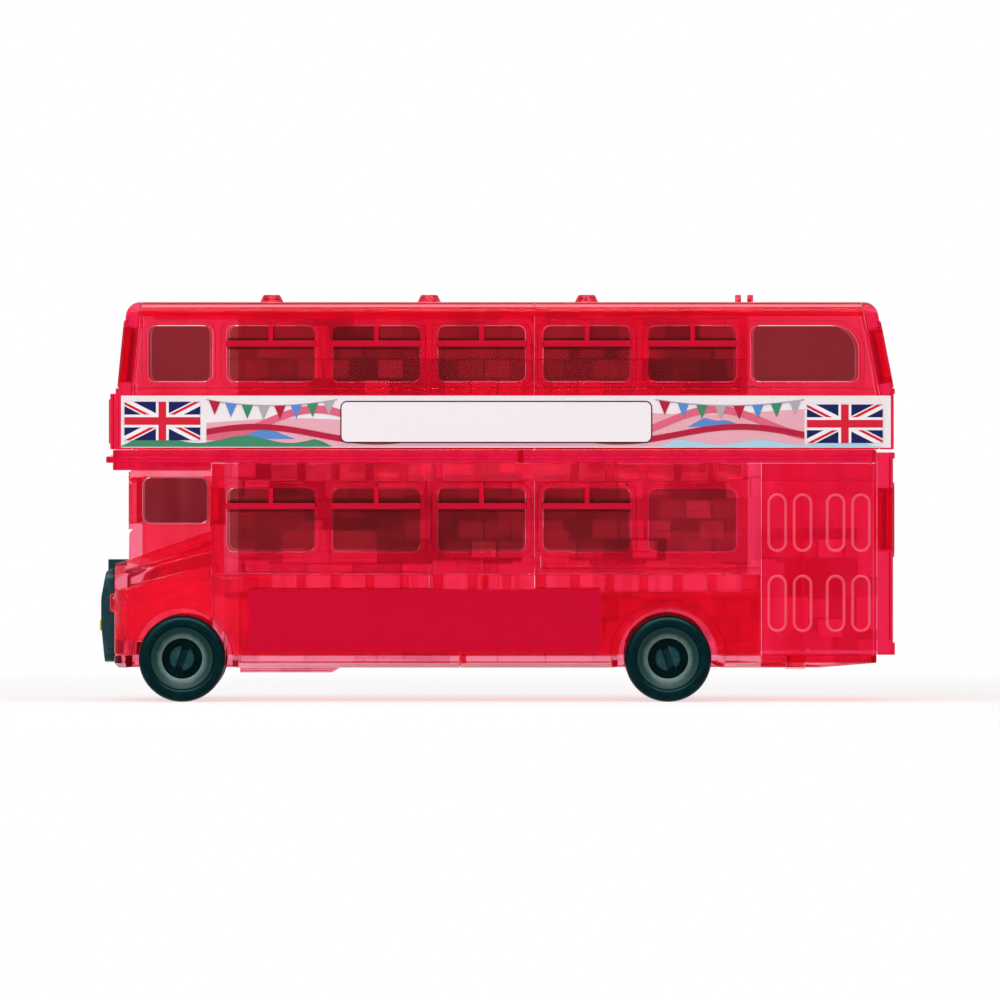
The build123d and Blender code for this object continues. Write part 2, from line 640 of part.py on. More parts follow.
def roof_room(grow):
    """The place of the roof plate inside the rounded rim."""
    x0 = upper_nose + FRONT_RAKE + end_depth + SEAM - grow
    x1 = upper_tail - REAR_RAKE - end_depth - SEAM + grow
    half = HALF_WIDTH - ROOF_EDGE + grow
    return block(x0, x1, -half, half, roof_top - ROOF_SKIN, roof_top + WALL)


def upper_shell():
    return upper_solid(0, roof_top, ROOF_ROUND) - upper_solid(WALL, roof_top - ROOF_SKIN, 0)


def belt_ridge(x0, x1):
    """The ridge over the print band on an end wall."""
    half = HALF_WIDTH - PLAN_CORNER
    return block(x0, x1, -half, half, belt, belt + RIM)


def upper_side(shell):
    """The two pieces of the near side wall and their panes."""
    front_line = end_line(upper_nose + end_depth + SEAM, FRONT_RAKE)
    rear_line = end_line(upper_tail - end_depth - SEAM, -REAR_RAKE)
    wall = shell & slab([*front_line, *reversed(rear_line)], -2 * HALF_WIDTH, -HALF_WIDTH + ROOF_EDGE)
    wall = wall + ridge(upper_nose + end_depth + SEAM, upper_tail - end_depth - SEAM - RIM, belt, belt + RIM)
    first = bays[0] - WINDOW_WIDTH / 2 - WINDOW_GAP - NOSE_WINDOW / 2
    last = bays[-1] + WINDOW_WIDTH / 2 + WINDOW_GAP + TAIL_WINDOW / 2
    rows = [(first, upper_glass, NOSE_WINDOW, UPPER_PANE, False, False),
            *[(x, upper_glass, WINDOW_WIDTH, UPPER_PANE, True, False) for x in bays],
            (last, upper_glass, TAIL_WINDOW, UPPER_PANE, False, True)]
    wall, panes = glaze(wall, NEAR, rows)
    return jigsaw(wall, upper_seam, belt - BELT_UPPER / 2, Plane.XZ), panes


def upper_front(shell):
    """The front wall with its two windows and the frame of the bare destination box."""
    line = end_line(upper_nose + end_depth, FRONT_RAKE)
    wall = shell & slab([(nose - WALL, upper_foot - WALL), *line, (nose - WALL, roof_top)], -LENGTH, LENGTH)
    box_middle = Pos(0, belt - BELT_UPPER / 2)
    box = Rectangle(2 * WINDOW_WIDTH, BELT_UPPER - 2 * RIM)
    box = box - Rectangle(2 * WINDOW_WIDTH - 2 * RIM, BELT_UPPER - 4 * RIM)
    half = HALF_WIDTH - PLAN_CORNER
    face = upper_nose - FRONT_PANEL
    panel = block(face, upper_nose + WALL / 2, -half, half, upper_foot, belt)
    panel = fillet(panel.edges().filter_by(Axis.Z).group_by(Axis.X)[0], PLAN_CORNER)
    wall = wall + panel + relief(wall_plane(face, -1), box_middle * box, -RELIEF, RELIEF)
    wall = wall + belt_ridge(upper_nose - BEAD, upper_nose + WALL)
    rows = [(side * bay_pitch / 2, WAIST, WINDOW_WIDTH, UPPER_PANE, False, False) for side in (-1, 1)]
    return glaze(wall, raked_plane(upper_nose, FRONT_RAKE, -1), rows)


def upper_tail_wall(shell):
    """The tail wall with its emergency window."""
    line = end_line(upper_tail - end_depth, -REAR_RAKE)
    wall = shell & slab([(tail_back + WALL, upper_foot - WALL), *line, (tail_back + WALL, roof_top)],
                        -LENGTH, LENGTH)
    wall = wall + belt_ridge(upper_tail - WALL, upper_tail + TAIL_BEAD)
    row = (0, WAIST, 2 * WINDOW_WIDTH, UPPER_PANE, False, False)
    return glaze(wall, raked_plane(upper_tail, REAR_RAKE, 1), [row])


# Roof: a plate in two hooked halves inside the rounded rim, with a tongue under it and vents on top

def roof():
    room = roof_room(0)
    box = room.bounding_box()
    skin_low = roof_top - ROOF_SKIN
    tongue = block(box.min.X - LIP, box.max.X + LIP, box.min.Y - ROOF_LAP, box.max.Y + ROOF_LAP,
                   skin_low - ROOF_LAP, skin_low - SEAM)
    inside = block(box.min.X + WALL, box.max.X - WALL, box.min.Y + WALL, box.max.Y - WALL, 0, skin_low)
    neck = block(box.min.X, box.max.X, box.min.Y, box.max.Y, skin_low - ROOF_LAP, roof_top)
    plate = tongue + neck - inside
    vent = Cone(VENT_RADIUS + VENT_RISE / 2, VENT_RADIUS - VENT_RISE / 2, 2 * VENT_RISE)
    vents = [Pos(x, 0, roof_top) * vent for x in (bays[0], (bays[1] + bays[2]) / 2, bays[3])]
    last = bays[-1] + bay_pitch / 2
    for x in (last - BAR, last + BAR):
        vents.append(block(x - BAR / 2, x + BAR / 2, -VENT_RADIUS, VENT_RADIUS, roof_top - VENT_RISE,
                           roof_top + VENT_RISE))
    return jigsaw(plate + vents, bays[2], 0, Plane.XY)


# Core: an upright spine on each deck, faced with staggered brick-like blocks

def core(x0, x1, z0, z1):
    spine = block(x0, x1, -CORE_HALF, CORE_HALF, z0, z1)
    face = Plane((0, -CORE_HALF, 0), x_dir=(1, 0, 0), z_dir=(0, -1, 0))
    rows = int((z1 - z0 - BRICK_JOINT) // BRICK_ROW)
    columns = int((x1 - x0 - BRICK) // (2 * BRICK))
    bricks = []
    for row in range(rows):
        height = z0 + BRICK_JOINT + (row + 0.5) * BRICK_ROW
        for column in range(columns):
            across = x0 + BRICK + (2 * column + row % 2) * BRICK
            bricks.append(Pos(across, height) * Rectangle(BRICK - BRICK_JOINT, BRICK_ROW - BRICK_JOINT))
    pads = relief(face, Sketch() + bricks, -BEAD, BEAD)
    return jigsaw(spine + [pads, far(pads)], bays[2], (z0 + z1) / 2, Plane.XZ)


# Locking pin: holds the stacked pieces together from below

def locking_pin():
    low = SILL - SEAM - BEAD
    high = mid_low - SEAM
    shaft = Pos(pin_place, 0, (low + high) / 2) * Cylinder(PIN_RADIUS, high - low)
    head = Pos(pin_place, 0, low + BEAD / 2) * Cylinder(PIN_HEAD, BEAD)
    return shaft + head


# Axles and wheels: a rod with split snap heads that hold the wheels on

hub_floor = wheel_face - HUB_DEPTH


def axle(name, tilt):
    x = axles[name]
    tip = hub_floor + AXLE_PLAY + HEAD_LENGTH
    rod = bar_across(x, WHEEL_RADIUS, AXLE_RADIUS, -tip, tip)
    for side in (-1, 1):
        head = bar_across(x, WHEEL_RADIUS, HEAD_RADIUS, hub_floor + 2 * AXLE_PLAY, tip)
        head = chamfer(head.edges().sort_by(Axis.Y)[-1], LIP)
        head = head if side > 0 else far(head)
        slot = Box(SNAP_SLOT, SNAP_DEPTH + 2 * WALL, 3 * HEAD_RADIUS)
        slot_place = Pos(x, side * (tip - SNAP_DEPTH + SNAP_DEPTH / 2 + WALL), WHEEL_RADIUS) * Rot(0, tilt, 0)
        rod = rod + head - slot_place * slot
    return rod


def wheel(name, side):
    width = WHEEL_WIDTH
    bore = AXLE_RADIUS + AXLE_PLAY
    round_off = SHOULDER * (1 - cos(pi / 4))
    outline = Polygon(
        (bore, -BOSS), (BOSS_RADIUS, -BOSS), (BOSS_RADIUS, 0), (WHEEL_RADIUS - SHOULDER / 2, 0),
        (WHEEL_RADIUS, SHOULDER / 2), (WHEEL_RADIUS, width - SHOULDER),
        (WHEEL_RADIUS - round_off, width - round_off), (WHEEL_RADIUS - SHOULDER, width), (DISH_RADIUS, width),
        (HUB_RADIUS, width - DISH_DEPTH), (HUB_RADIUS, width - HUB_DEPTH), (bore, width - HUB_DEPTH))
    place = Plane((axles[name], wheel_inner, WHEEL_RADIUS), x_dir=(1, 0, 0), z_dir=(0, 0, 1))
    turned = revolve(place * outline, axis=Axis((axles[name], 0, WHEEL_RADIUS), (0, 1, 0)))
    return turned if side > 0 else far(turned)


# Prints: the long band on the upper deck and the label below the lower windows

def print_band():
    x0 = upper_nose + PLAN_CORNER + SEAM
    x1 = upper_tail - PLAN_CORNER - SEAM
    outline = Pos((x0 + x1) / 2, (upper_foot + belt) / 2) * Rectangle(x1 - x0, BELT_UPPER - 2 * BAND_MARGIN)
    return relief(NEAR, outline, BAND_GAP, BAND_GAP + BAND_FILM)


def print_label():
    x0 = bays[0] - WINDOW_WIDTH / 4
    x1 = bays[LABEL_BAYS - 1] + BRICK / 2
    low = lower_foot + BEAD
    high = floor_low + BEAD
    outline = Pos((x0 + x1) / 2, (low + high) / 2) * Rectangle(x1 - x0, high - low)
    return relief(NEAR, outline, BAND_GAP, BAND_GAP + LABEL_FILM)


# Assembly: every piece by its name

pieces = {}
pieces["chassis_front"], pieces["chassis_rear"] = chassis()
pieces["floor_front"], pieces["floor_rear"] = lower_floor()
pieces["mid_floor_front"], pieces["mid_floor_rear"] = mid_floor()
near_walls, near_panes = lower_side(saloon_end, BAYS)
far_walls, far_panes = lower_side(door_end, BAYS - 1)
for place, near_wall, far_wall in zip(("front", "mid", "rear"), near_walls, far_walls):
    pieces[f"lower_near_{place}"] = near_wall
    pieces[f"lower_far_{place}"] = far(far_wall)
pieces["platform_door"] = platform_door()
pieces["tail_wall"], tail_panes = tail_wall()
pieces["bulkhead"], bulkhead_panes = bulkhead()
pieces["cab"], cab_panes = cab()
pieces["bonnet"] = bonnet()
pieces["wing_near"] = wing_near()
pieces["wing_far"] = wing_far()
pieces["grille"] = grille()
shell = upper_shell()
rim_shell = shell - roof_room(SEAM)
pieces["upper_front"], front_panes = upper_front(rim_shell)
pieces["upper_tail"], rear_panes = upper_tail_wall(rim_shell)
upper_sides, upper_panes = upper_side(rim_shell)
for place, side_piece in zip(("front", "rear"), upper_sides):
    pieces[f"upper_near_{place}"] = side_piece
    pieces[f"upper_far_{place}"] = far(side_piece)
pieces["roof_front"], pieces["roof_rear"] = roof()
core_end = saloon_end - WALL
pieces["lower_core_front"], pieces["lower_core_rear"] = core(
    floor_start + WALL, core_end, floor_top + SEAM, lower_head)
pieces["upper_core_front"], pieces["upper_core_rear"] = core(
    floor_start + WALL, core_end, upper_foot, roof_top - ROOF_SKIN - SEAM)
pieces["locking_pin"] = locking_pin()
pieces["axle_front"] = axle("front", SNAP_TILT)
pieces["axle_rear"] = axle("rear", -SNAP_TILT)
for name in axles:
    pieces[f"wheel_{name}_near"] = wheel(name, -1)
    pieces[f"wheel_{name}_far"] = wheel(name, 1)
pieces["print_band_near"] = print_band()
pieces["print_band_far"] = far(print_band())
pieces["print_label_near"] = print_label()
pieces["print_label_far"] = far(print_label())
pieces["glazing_lower_near"] = Compound(children=near_panes)
pieces["glazing_lower_far"] = Compound(children=[far(pane) for pane in far_panes])
pieces["glazing_upper_near"] = Compound(children=upper_panes)
pieces["glazing_upper_far"] = Compound(children=[far(pane) for pane in upper_panes])
end_panes = [*tail_panes, *bulkhead_panes, *cab_panes, *front_panes, *rear_panes]
pieces["glazing_ends"] = Compound(children=end_panes)

os.makedirs("parts", exist_ok=True)
for name, shape in pieces.items():
    export_step(shape, f"parts/{name}.step")
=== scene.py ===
# Looks of a see-through red puzzle model of a double decker bus, in metres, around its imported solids.
# The bus faces -X and its platform door is on the near side, -Y.
import json
from math import atan, cos, pi, radians, sin, sqrt, tau

import bmesh
import bpy
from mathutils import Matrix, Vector
from mathutils.kdtree import KDTree


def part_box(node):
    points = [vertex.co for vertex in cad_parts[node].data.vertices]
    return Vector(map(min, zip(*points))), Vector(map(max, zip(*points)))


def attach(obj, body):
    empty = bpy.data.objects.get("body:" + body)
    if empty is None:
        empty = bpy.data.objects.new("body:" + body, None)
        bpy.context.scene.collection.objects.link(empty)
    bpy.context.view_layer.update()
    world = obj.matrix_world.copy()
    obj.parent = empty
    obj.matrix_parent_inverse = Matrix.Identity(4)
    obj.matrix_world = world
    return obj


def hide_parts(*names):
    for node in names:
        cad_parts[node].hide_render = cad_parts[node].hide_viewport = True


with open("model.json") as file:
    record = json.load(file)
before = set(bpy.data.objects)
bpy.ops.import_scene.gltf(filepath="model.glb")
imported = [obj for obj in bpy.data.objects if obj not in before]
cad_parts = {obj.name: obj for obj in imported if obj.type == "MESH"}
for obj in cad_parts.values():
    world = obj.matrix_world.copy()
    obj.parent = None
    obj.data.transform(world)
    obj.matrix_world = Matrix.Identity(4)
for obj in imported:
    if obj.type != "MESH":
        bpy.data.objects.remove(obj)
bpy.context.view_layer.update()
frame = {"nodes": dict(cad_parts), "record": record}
slots = {part["node"]: part["material_slot"] for part in frame["record"]["subparts"]}

# Sizes and places in millimetres, with those across the bus out from its middle plane
MM = 0.001
EDGE_ROUND = 0.14        # moulded edge
NOSE_ROUND = 0.3         # edges of the bonnet and wings
SHARP = radians(35)      # edges that turn by more are rounded
MERGE = 0.001            # corners closer than this are one
FLAT = radians(0.5)      # triangles that turn by less are one face
FOLD = 0.005             # square millimetres of a folded triangle that shows
FOLD_TURN = 0.5          # its normal agrees with its face's by less than this
ATTEMPTS = 4             # times that a piece is rounded until nothing folds
ROOM = 2.1               # roundings that both faces reach from an edge that is rounded
CROWD = 3                # roundings from a fold within which no edge is rounded
AXLE_HEIGHT = 7.1
AXLES = {"front": -51.6, "rear": 27.9}
WHEEL_INNER = 14.0       # wheel's inner face
FILM_FACE = 19.87        # outer face of the printed film
INK = 0.012              # one layer of ink
TOOTH_ROOT = 17.7        # side walls' inner face, where the lower floor's teeth begin
TOOTH_HEAD = 38.9        # the mid floor's teeth reach lower than this
POCKET = (17.8, 19.4)    # depth of the pockets for the teeth
POCKET_ROW = (35.9, 39.05)  # height of the upper row of pockets
WING_END = -42.1         # back of the front wings, and the teeth lie behind it
CHAMFER_TILT = -0.3      # upward part of the normals on the chassis's lower chamfers, which take a painted highlight, is less
SKIN = 18.9              # outer faces lie further out than this
ROOF_RIM = 62.8          # the roof's rounded rim is higher than this
ROOF_SIDE = 17.0         # and further out than this
RIM_TILT = (0.63, 0.83)  # upward part of the normals along the painted highlight line on the rim
BARS = ((32.0, -11.2, 33.2), (58.6, -2.6, 41.9))  # vent bars: height, middle and reach
BAR_FACE = (18.7, 19.65)  # depth of the vent bars
BAR_SPAN = (-0.6, 1.3)   # a bar's faces, with its post, from the bar's height
BAR_SHADE = 0.95         # reach of a bar and its painted shadow
BAYS = (-2.6, 41.9)      # middle and reach of the five bays
END_TINT = 0.35          # share of the deep tint in the panes past the bays
BLOCK_TINT = 0.6         # and in the blocks behind the panes
LEAF_RING = (19.15, 19.55)  # raised outlines on the door's leaves
DISH_PAINTED_LIGHT = (4.5, 3.5)      # radius on a wheel's dish where its painted light starts, and where it is full
PAINTED_LIGHT_SPREAD = 0.5         # unevenness of that radius


# Colours and nodes

def linear(colour):
    """An sRGB hex colour as linear red, green, blue and alpha."""
    channels = [int(colour[start:start + 2], 16) / 255 for start in (1, 3, 5)]
    return [c / 12.92 if c <= 0.04045 else ((c + 0.055) / 1.055) ** 2.4 for c in channels] + [1.0]


def add_node(tree, kind, settings, inputs):
    """Add a node: settings are its own properties, inputs are values or the sockets that feed it."""
    node = tree.nodes.new(kind)
    for name, value in settings.items():
        setattr(node, name, value)
    for name, value in inputs.items():
        if isinstance(value, bpy.types.NodeSocket):
            tree.links.new(value, node.inputs[name])
        else:
            node.inputs[name].default_value = value
    return node


def new_tree(name):
    """An empty material and its node tree."""
    material = bpy.data.materials.new(name)
    material.use_nodes = True
    material.node_tree.nodes.clear()
    return material, material.node_tree


# Tint patterns: how thick the plastic looks, from 0 to 1, at each place on a piece

def flow_streaks(tree, place):
    """Soft upright streaks, 2.4 mm wide, from the ribs and flow lines behind a moulded wall."""
    stretch = add_node(tree, "ShaderNodeMapping", {},
                       {"Vector": place, "Scale": (1 / (2.4 * MM), 1 / (2.4 * MM), 1 / (18 * MM))})
    flow = add_node(tree, "ShaderNodeTexNoise", {},
                    {"Vector": stretch.outputs[0], "Scale": 1.0, "Detail": 1.0})
    return add_node(tree, "ShaderNodeMapRange", {},
                    {"Value": flow.outputs["Fac"], "From Min": 0.35, "From Max": 0.65}).outputs["Result"]


def stacked_blocks(tree, place):
    """Small blocks among larger ones, each darker or lighter than the next, seen upright from the side."""
    upright = add_node(tree, "ShaderNodeMapping", {}, {"Vector": place, "Rotation": (-pi / 2, 0, 0)})
    rows = []
    for width, height, joint in ((4.4, 3.3, 0.25), (7.9, 5.6, 0.12)):
        rows.append(add_node(tree, "ShaderNodeTexBrick", {"offset": 0.5}, {
            "Vector": upright.outputs[0], "Color1": (0, 0, 0, 1), "Color2": (1, 1, 1, 1),
            "Mortar": (0.9, 0.9, 0.9, 1), "Scale": 1 / MM, "Mortar Size": joint, "Mortar Smooth": 0.6,
            "Brick Width": width, "Row Height": height}).outputs["Color"])
    return add_node(tree, "ShaderNodeMath", {"operation": "MULTIPLY"}, {0: rows[0], 1: rows[1]}).outputs[0]


def bar_shadows(tree, place):
    """Painted shadow: dark lines along the vent bars before the panes; an even tint at the deck's ends, and
    faint blocks.
    """
    spot = add_node(tree, "ShaderNodeSeparateXYZ", {}, {"Vector": place})
    lines = []
    for height, middle, half in BARS:
        level = add_node(tree, "ShaderNodeMath", {"operation": "COMPARE"},
                         {0: spot.outputs["Z"], 1: height * MM, 2: BAR_SHADE * MM})
        along = add_node(tree, "ShaderNodeMath", {"operation": "COMPARE"},
                         {0: spot.outputs["X"], 1: middle * MM, 2: half * MM})
        lines.append(add_node(tree, "ShaderNodeMath", {"operation": "MULTIPLY"},
                              {0: level.outputs[0], 1: along.outputs[0]}).outputs[0])
    near_bar = add_node(tree, "ShaderNodeMath", {"operation": "MAXIMUM"}, {0: lines[0], 1: lines[1]})
    in_bays = add_node(tree, "ShaderNodeMath", {"operation": "COMPARE"},
                       {0: spot.outputs["X"], 1: BAYS[0] * MM, 2: BAYS[1] * MM})
    shade = add_node(tree, "ShaderNodeMix", {}, {0: in_bays.outputs[0], 2: END_TINT, 3: near_bar.outputs[0]})
    blocks = add_node(tree, "ShaderNodeMath", {"operation": "MULTIPLY"},
                      {0: stacked_blocks(tree, place), 1: BLOCK_TINT})
    return add_node(tree, "ShaderNodeMath", {"operation": "MAXIMUM"},
                    {0: shade.outputs[0], 1: blocks.outputs[0]}).outputs[0]


# Materials

def clear_polystyrene(name, thin, thick, haze, cloud, pattern, gloss=1.2):
    """Injection-moulded clear polystyrene: redder with each wall looked through, and a little cloudy.

    Gloss is the index of refraction, kept low so that the pieces behind a wall show through unbent.
    """
    material, tree = new_tree(name)
    place = add_node(tree, "ShaderNodeTexCoord", {}, {}).outputs["Object"]
    tint = add_node(tree, "ShaderNodeMix", {"data_type": "RGBA"},
                    {0: pattern(tree, place), 6: linear(thin), 7: linear(thick)})
    plastic = add_node(tree, "ShaderNodeBsdfPrincipled", {}, {
        "Base Color": tint.outputs[2], "Roughness": 0.04, "IOR": gloss, "Transmission Weight": 1.0,
        "Specular Tint": linear("#FF98A0")})
    melt = add_node(tree, "ShaderNodeBsdfDiffuse", {}, {"Color": linear(haze)})
    body = add_node(tree, "ShaderNodeMixShader", {},
                    {0: cloud, 1: plastic.outputs["BSDF"], 2: melt.outputs["BSDF"]})
    passing = add_node(tree, "ShaderNodeBsdfTransparent", {}, {"Color": linear("#F7909A")})
    ray = add_node(tree, "ShaderNodeLightPath", {}, {})
    surface = add_node(tree, "ShaderNodeMixShader", {}, {
        0: ray.outputs["Is Shadow Ray"], 1: body.outputs["Shader"], 2: passing.outputs["BSDF"]})
    add_node(tree, "ShaderNodeOutputMaterial", {}, {"Surface": surface.outputs["Shader"]})
    return material


def filled_polystyrene(name, ground, rubbed, roughness):
    """Moulded polystyrene with dark pigment: satin, with rubbed paler spots and a spark-eroded grain.

    The grain is drawn coarser than a mould's, so that it shows.
    """
    material, tree = new_tree(name)
    place = add_node(tree, "ShaderNodeTexCoord", {}, {}).outputs["Object"]
    wear = add_node(tree, "ShaderNodeTexNoise", {}, {"Vector": place, "Scale": 1 / (1.2 * MM), "Detail": 4.0})
    spots = add_node(tree, "ShaderNodeMapRange", {}, {
        "Value": wear.outputs["Fac"], "From Min": 0.5, "From Max": 0.8, "To Min": 0.0, "To Max": 0.6})
    tint = add_node(tree, "ShaderNodeMix", {"data_type": "RGBA"},
                    {0: spots.outputs["Result"], 6: linear(ground), 7: linear(rubbed)})
    grain = add_node(tree, "ShaderNodeTexNoise", {},
                     {"Vector": place, "Scale": 1 / (0.25 * MM), "Detail": 2.0})
    skin = add_node(tree, "ShaderNodeBump", {},
                    {"Height": grain.outputs["Fac"], "Strength": 0.2, "Distance": 0.03 * MM})
    plastic = add_node(tree, "ShaderNodeBsdfPrincipled", {}, {
        "Base Color": tint.outputs[2], "Roughness": roughness, "IOR": 1.18, "Normal": skin.outputs["Normal"],
        "Specular Tint": linear("#90E8E8")})
    add_node(tree, "ShaderNodeOutputMaterial", {}, {"Surface": plastic.outputs["BSDF"]})
    return material


def dish_with_painted_light(name, outer, inner):
    """The wheel's dish in the same plastic, paler towards the hub as painted light, with a cloudy bloom."""
    material, tree = new_tree(name)
    place = add_node(tree, "ShaderNodeTexCoord", {}, {}).outputs["Object"]
    radius = add_node(tree, "ShaderNodeAttribute", {"attribute_name": "out_from_axle"}, {})
    bloom = add_node(tree, "ShaderNodeTexNoise", {},
                     {"Vector": place, "Scale": 1 / (0.9 * MM), "Detail": 3.0})
    cloud = add_node(tree, "ShaderNodeMath", {"operation": "MULTIPLY_ADD"},
                     {0: bloom.outputs["Fac"], 1: PAINTED_LIGHT_SPREAD, 2: radius.outputs["Fac"]})
    share = add_node(tree, "ShaderNodeMapRange", {},
                     {"Value": cloud.outputs[0], "From Min": DISH_PAINTED_LIGHT[0], "From Max": DISH_PAINTED_LIGHT[1]})
    tint = add_node(tree, "ShaderNodeMix", {"data_type": "RGBA"},
                    {0: share.outputs["Result"], 6: linear(outer), 7: linear(inner)})
    plastic = add_node(tree, "ShaderNodeBsdfPrincipled", {},
                       {"Base Color": tint.outputs[2], "Roughness": 0.5, "IOR": 1.2})
    add_node(tree, "ShaderNodeOutputMaterial", {}, {"Surface": plastic.outputs["BSDF"]})
    return material


def printed_ink(name, colour, thin):
    """Process ink on vinyl film: matt, uneven in the dots of the print, drawn coarser than real to show."""
    material, tree = new_tree(name)
    place = add_node(tree, "ShaderNodeTexCoord", {}, {}).outputs["Object"]
    dots = add_node(tree, "ShaderNodeTexNoise", {},
                    {"Vector": place, "Scale": 1 / (0.35 * MM), "Detail": 3.0})
    tint = add_node(tree, "ShaderNodeMix", {"data_type": "RGBA"},
                    {0: dots.outputs["Fac"], 6: linear(colour), 7: linear(thin)})
    film = add_node(tree, "ShaderNodeBsdfPrincipled", {},
                    {"Base Color": tint.outputs[2], "Roughness": 0.5, "IOR": 1.2})
    add_node(tree, "ShaderNodeOutputMaterial", {}, {"Surface": film.outputs["BSDF"]})
    return material


# Clear reds: tints of the thin and the thick places, colour and share of the cloudiness, and the pattern
red = "clear_red_polystyrene"
clear_red = clear_polystyrene(red, "#F8809E", "#EE6084", "#DC0A38", 0.1, flow_streaks)
red_nose = clear_polystyrene(f"{red}_nose", "#FA8CA4", "#F07490", "#F02C54", 0.14, flow_streaks)
red_end = clear_polystyrene(f"{red}_thick", "#F0406C", "#E62A58", "#DC0A38", 0.1, flow_streaks)
red_far = clear_polystyrene(f"{red}_far", "#FF9CBC", "#CC3C68", "#E00C3C", 0.08, stacked_blocks)
red_plate = clear_polystyrene(f"{red}_plate", "#EC1C48", "#DC1040", "#D80A34", 0.15, flow_streaks)
red_tail = clear_polystyrene(f"{red}_tail", "#F02A54", "#E21E4A", "#E00C40", 0.12, flow_streaks)
red_well = clear_polystyrene(f"{red}_well", "#FA8CA8", "#CC4868", "#DC0A38", 0.08, stacked_blocks)
red_wing = clear_polystyrene(f"{red}_wing", "#FFA4B8", "#C84464", "#E01C44", 0.1, stacked_blocks)
red_teeth = clear_polystyrene(f"{red}_teeth", "#FFE0E6", "#FFD0D8", "#FF90A8", 0.08, flow_streaks)
red_bar = clear_polystyrene(f"{red}_bar", "#F05A78", "#E84868", "#CC1838", 0.7, flow_streaks)
# Painted highlight: a pale, nearly clear finish for the chassis's downward chamfers along the sill
red_sill_painted_highlight = clear_polystyrene(f"{red}_pale", "#FFDCE0", "#FFB8C0", "#FFD8DE", 0.4, flow_streaks, gloss=1.5)
red_pin = clear_polystyrene(f"{red}_pin", "#FFE0E6", "#FFD0D8", "#FF5C78", 0.02, flow_streaks, gloss=1.05)
# Painted highlights: a paler, cloudier finish for rounded edges on the outer faces
red_edge_painted_highlight = clear_polystyrene(f"{red}_edge", "#F8809E", "#EE6084", "#F85C78", 0.3, flow_streaks, gloss=1.4)
# Painted highlights: a paler finish for the door's rounded edges and raised leaf outlines
red_outline_painted_highlight = clear_polystyrene(f"{red}_line", "#F8809E", "#EE6084", "#FF7890", 0.36, flow_streaks, gloss=1.4)
# Painted highlights: the palest finish, for the edges of the cab, bonnet, wings and upper walls and a line
# along the roof's rim
red_painted_highlight_strong = clear_polystyrene(f"{red}_painted_gleam", "#F8A0B0", "#F08898", "#FF94A4", 0.6, flow_streaks, gloss=1.5)
red_blocks = clear_polystyrene(f"{red}_blocks", "#F88CAC", "#9A3450", "#A81430", 0.06, stacked_blocks)

# Panes of a deeper red, and the dark plastic of the grille and wheels
deep = "deep_red_polystyrene"
# The side panes carry painted shadows along the vent bars
side_panes = clear_polystyrene(deep, "#CC7880", "#824650", "#A03C44", 0.1, bar_shadows)
end_panes = clear_polystyrene(f"{deep}_ends", "#BC727C", "#AC5C6A", "#A03C44", 0.1, flow_streaks)
tyre_green = filled_polystyrene("green_black_polystyrene", "#01181C", "#082E34", 0.3)
grille_green = filled_polystyrene("grey_green_polystyrene", "#1E3E44", "#3C5C62", 0.3)
# The wheels' dish is paler towards the hub: painted light
dish_green = dish_with_painted_light("green_polystyrene_with_painted_light", "#123232", "#68827C")

# Stickers and their inks
white_film = printed_ink("white_vinyl_film", "#EEE9EC", "#E4DADF")
label_film = clear_polystyrene("tinted_label_film", "#F05A78", "#E84868", "#C81036", 0.75, flow_streaks)
inks = {
    "navy": printed_ink("navy_ink", "#07104C", "#141C58"),
    "red": printed_ink("flag_red_ink", "#D8152F", "#C81C36"),
    "white": printed_ink("white_ink", "#F2EDEF", "#E8DEE3"),
    "pink": printed_ink("pale_pink_ink", "#E6AFBA", "#DC98A8"),
    "rose": printed_ink("rose_ink", "#DD6C85", "#D2546F"),
    "crimson": printed_ink("crimson_ink", "#B81D3C", "#A81633"),
    "blue": printed_ink("sky_blue_ink", "#4D7EC4", "#5E8CC6"),
    "sky": printed_ink("pale_blue_ink", "#9CC8DC", "#AAD0E0"),
    "green": printed_ink("leaf_green_ink", "#2F7D5C", "#478A68"),
    "grey": printed_ink("silver_grey_ink", "#B4ACB0", "#A49AA0"),
    "black": printed_ink("black_ink", "#160C10", "#241418"),
}
plate_yellow = printed_ink("yellow_plate_ink", "#E8C828", "#DDB820")


# Moulded pieces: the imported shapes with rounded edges

def only(piece):
    """Select one piece alone."""
    bpy.ops.object.select_all(action="DESELECT")
    piece.select_set(True)
    bpy.context.view_layer.objects.active = piece


def reach(face, edge):
    """How far a face reaches from one of its edges."""
    start = edge.verts[0].co
    along = (edge.verts[1].co - start).normalized()
    return max((corner.co - start).cross(along).length for corner in face.verts)


def select_outer_edges(piece, rounding, folds):
    """Select the sharp outward edges whose two faces are wide enough to take a rounding without a fold."""
    crowded = KDTree(len(folds))
    for index, spot in enumerate(folds):
        crowded.insert(spot, index)
    crowded.balance()
    bpy.ops.mesh.select_mode(type="EDGE")
    bpy.ops.mesh.select_all(action="DESELECT")
    mesh = bmesh.from_edit_mesh(piece.data)
    for edge in mesh.edges:
        if len(edge.link_faces) != 2 or edge.calc_face_angle_signed(0) < SHARP:
            continue
        if folds and min(crowded.find(end.co)[2] for end in edge.verts) < CROWD * rounding * MM:
            continue
        edge.select_set(all(reach(face, edge) > ROOM * rounding * MM for face in edge.link_faces))
    bmesh.update_edit_mesh(piece.data)


def folded_spots(mesh):
    """Corners of the triangles that lie folded back in their face."""
    mesh.calc_loop_triangles()
    spots = []
    for triangle in mesh.loop_triangles:
        face = mesh.polygons[triangle.polygon_index]
        if triangle.area > FOLD * MM * MM and triangle.normal.dot(face.normal) < FOLD_TURN:
            spots += [mesh.vertices[corner].co.copy() for corner in triangle.vertices]
    return spots


